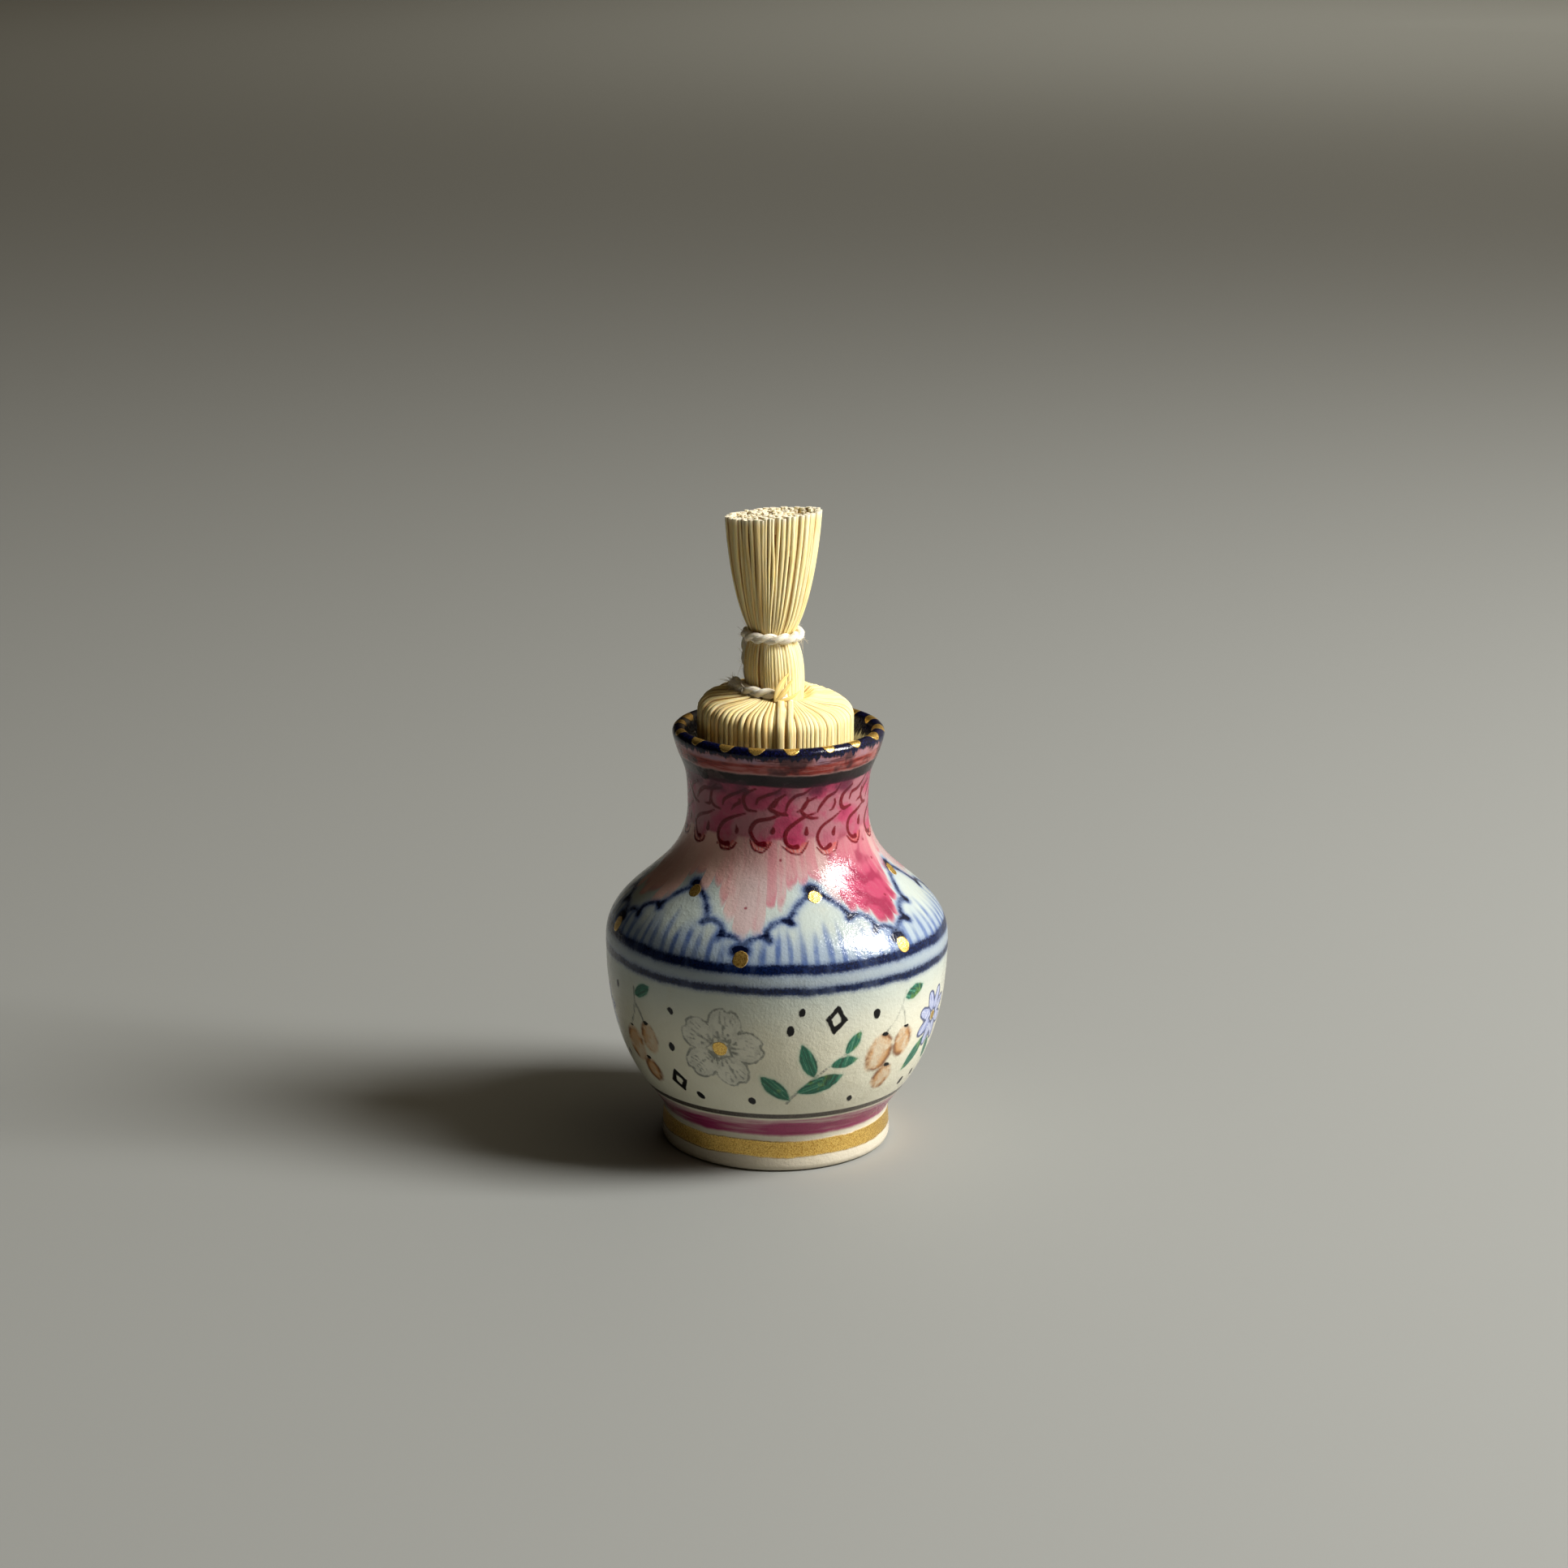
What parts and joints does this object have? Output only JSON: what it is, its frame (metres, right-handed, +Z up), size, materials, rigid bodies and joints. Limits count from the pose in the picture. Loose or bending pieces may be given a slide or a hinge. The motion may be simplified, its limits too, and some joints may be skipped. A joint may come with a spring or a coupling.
{
  "type": "sweets bottle",
  "caption": "Small turned porcelain bottle for tiny sweets, with a waisted neck and flared mouth, and a lift-out stopper of pleated plant fibre tied with twine.",
  "frame": {"origin": "centre of the foot ring, on the surface that the bottle stands on", "axes": "+Z up along the bottle's turning axis, through the mouth; -Y towards the side seen in the picture; +X to the right in it"},
  "size_m": [0.0524, 0.0524, 0.0981],
  "materials": {
    "porcelain": "clear glossy glaze over painted bands in navy, pink and gold",
    "plant_fibre": "dry split stems, pleated, with a soft sheen",
    "cotton_twine": "two-ply off-white cotton, matt and slightly hairy"
  },
  "bodies": {
    "root": {"bottle": "porcelain", "stopper": "plant_fibre", "twine": "cotton_twine"}
  },
  "joints": []
}
